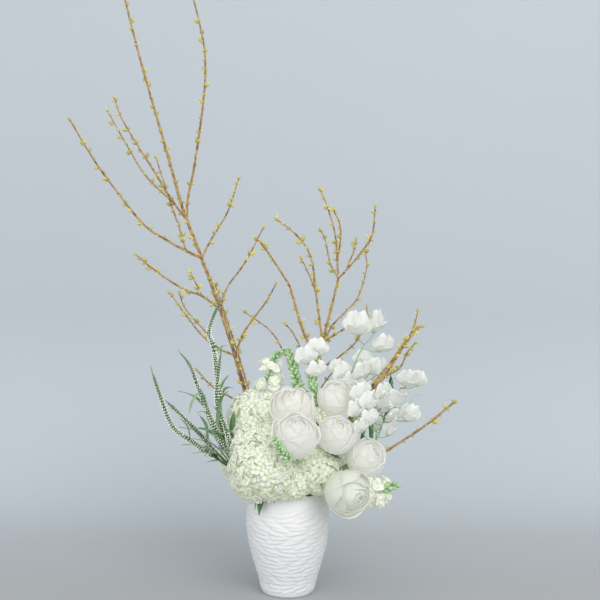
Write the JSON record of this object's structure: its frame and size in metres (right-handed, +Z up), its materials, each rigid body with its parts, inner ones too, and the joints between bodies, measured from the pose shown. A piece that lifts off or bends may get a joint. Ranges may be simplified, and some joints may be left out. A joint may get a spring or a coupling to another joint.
{
  "type": "flower arrangement in vase",
  "caption": "Tall white and green flower arrangement with bare budding branches, standing in the water of a carved white ceramic vase.",
  "frame": {"origin": "middle of the vase's underside, on the surface it stands on", "axes": "+Z up the vase's axis, -Y towards the arrangement's front, +X to the right as seen from the front"},
  "size_m": [0.6845, 0.3106, 1.1369],
  "materials": {
    "vase_glaze": "matte white glaze",
    "water": "clear",
    "green_stem": "fresh green stem",
    "hydrangea_floret": "soft cream petal",
    "rose_petal": "soft white petal",
    "fresh_bud": "fresh green bud and white floret",
    "veronica_spike": "sage green spike with white buds",
    "pea_petal": "thin white petal",
    "forsythia_bark": "orange-brown bark with yellow-green buds"
  },
  "bodies": {
    "root": {"forsythia_low": "forsythia_bark", "forsythia_middle": "forsythia_bark", "forsythia_right": "forsythia_bark", "forsythia_tall": "forsythia_bark", "hydrangea_1_head": "hydrangea_floret", "hydrangea_1_stem": "green_stem", "hydrangea_2_head": "hydrangea_floret", "hydrangea_2_stem": "green_stem", "hydrangea_3_head": "hydrangea_floret", "hydrangea_3_stem": "green_stem", "hydrangea_4_head": "hydrangea_floret", "hydrangea_4_stem": "green_stem", "hydrangea_5_head": "hydrangea_floret", "hydrangea_5_stem": "green_stem", "hydrangea_6_head": "hydrangea_floret", "hydrangea_6_stem": "green_stem", "rose_1_bloom": "rose_petal", "rose_1_stem": "green_stem", "rose_2_bloom": "rose_petal", "rose_2_stem": "green_stem", "rose_3_bloom": "rose_petal", "rose_3_stem": "green_stem", "rose_4_bloom": "rose_petal", "rose_4_stem": "green_stem", "rose_5_bloom": "rose_petal", "rose_5_stem": "green_stem", "rose_6_bloom": "rose_petal", "rose_6_stem": "green_stem", "snapdragon_1": "fresh_bud", "snapdragon_2": "fresh_bud", "snapdragon_3": "fresh_bud", "snapdragon_4": "fresh_bud", "snapdragon_5": "fresh_bud", "sweet_pea_1": "pea_petal", "sweet_pea_2": "pea_petal", "sweet_pea_3": "pea_petal", "sweet_pea_4": "pea_petal", "vase": "vase_glaze", "veronica_1": "veronica_spike", "veronica_2": "veronica_spike", "veronica_3": "veronica_spike", "veronica_4": "veronica_spike", "veronica_5": "veronica_spike", "veronica_6": "veronica_spike", "water": "water"}
  },
  "joints": []
}
